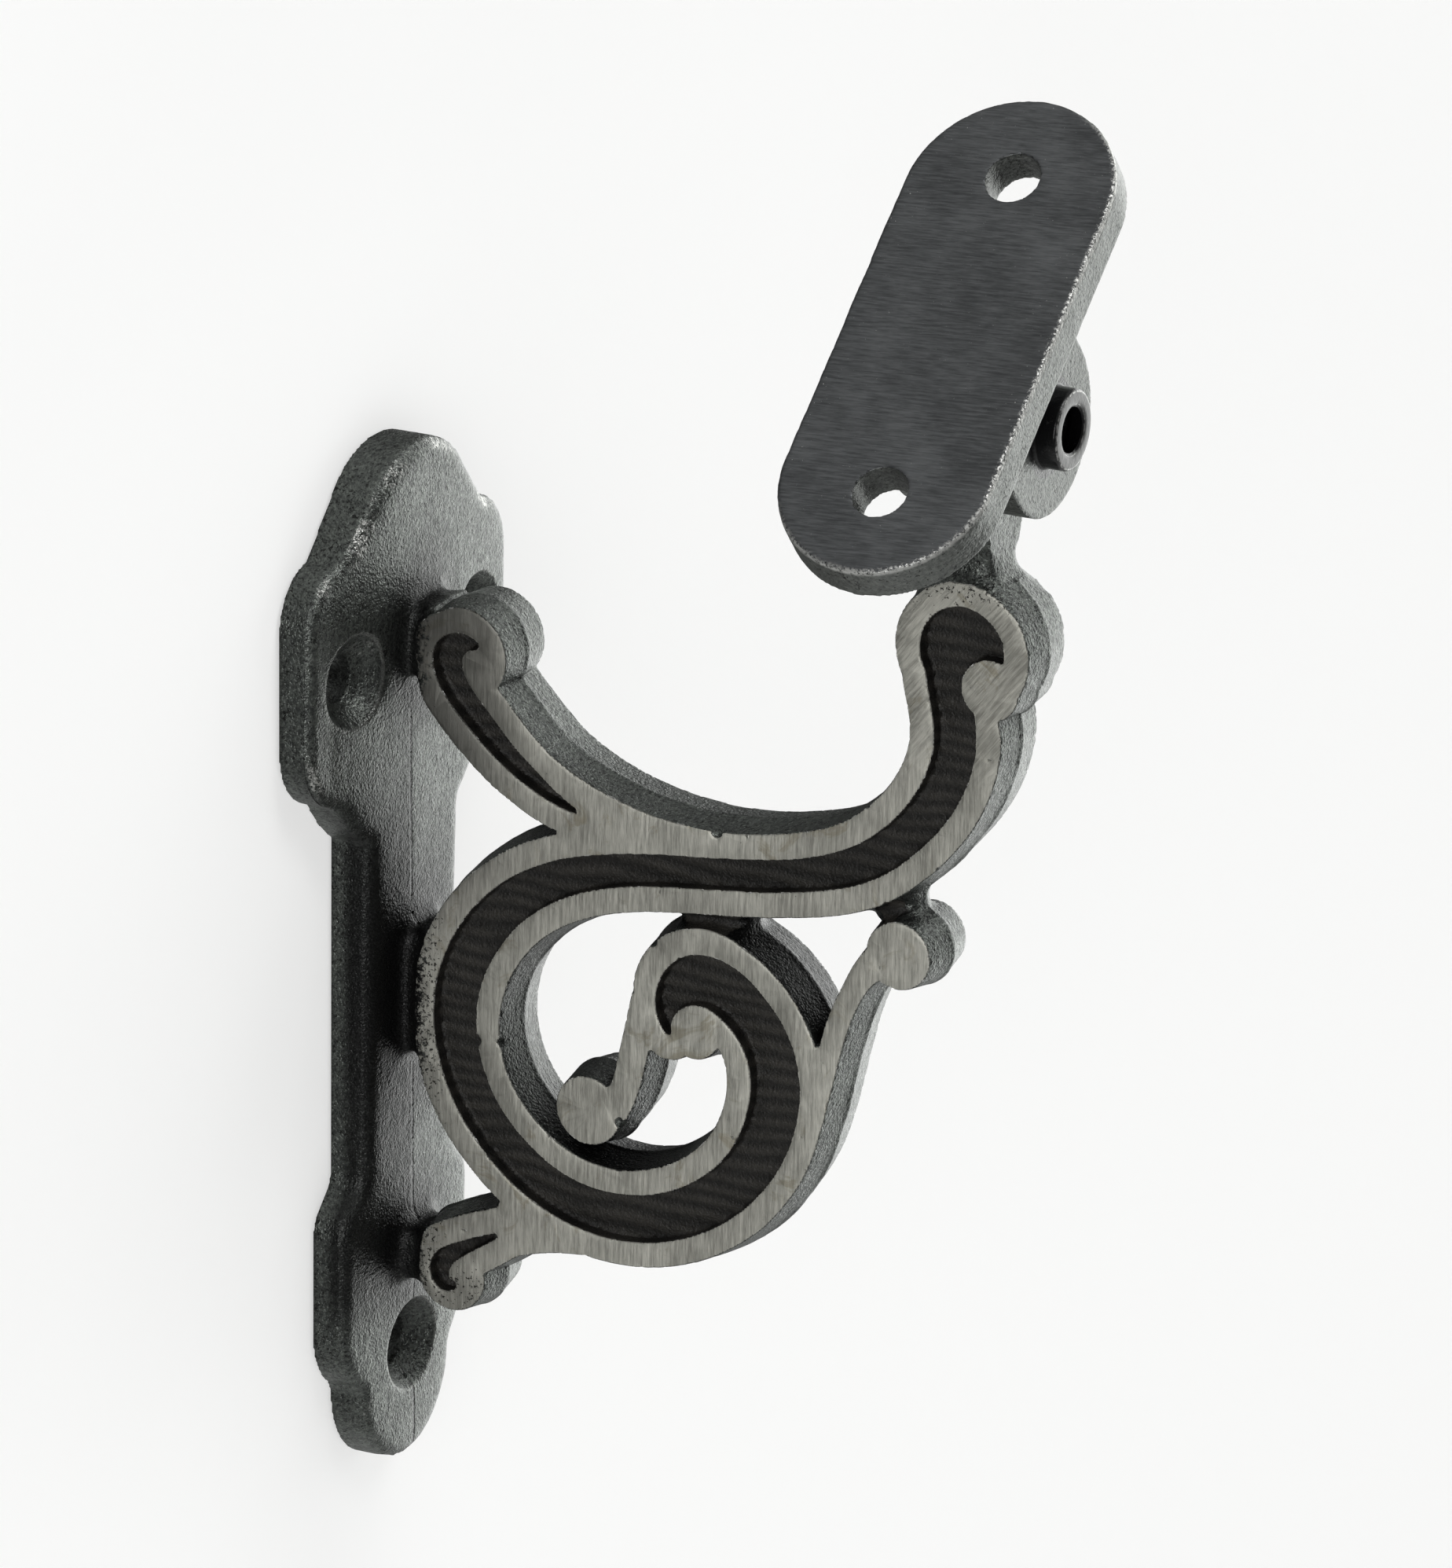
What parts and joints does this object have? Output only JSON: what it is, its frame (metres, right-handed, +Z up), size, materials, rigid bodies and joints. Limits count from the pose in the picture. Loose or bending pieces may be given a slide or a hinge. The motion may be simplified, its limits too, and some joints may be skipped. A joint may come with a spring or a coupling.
{
  "type": "handrail bracket",
  "caption": "Scrolled cast-iron stair handrail bracket: a stepped wall plate and S-scroll arm in one casting, with a flat rail saddle that tilts on a hollow rivet.",
  "frame": {"origin": "middle of the wall plate's back face, on the wall", "axes": "+X out from the wall, +Y along the wall, +Z up"},
  "size_m": [0.0915, 0.0572, 0.1745],
  "materials": {
    "cast_iron": "sand-cast gunmetal, scroll faces ground to bare grey metal",
    "saddle_iron": "rail face linished and darkened, cast sides",
    "rivet_steel": "gloss black, worn bright on the end face"
  },
  "bodies": {
    "bracket": {"wall_bracket": "cast_iron"},
    "saddle": {"rail_saddle": "saddle_iron", "pivot_rivet": "rivet_steel"}
  },
  "joints": [
    {"name": "saddle_pivot", "type": "hinge", "parent": "bracket", "child": "saddle", "pos_m": [0.0788, 0, 0.0776], "axis": [1, 0, 0], "range_deg": [-141, 58]}
  ]
}
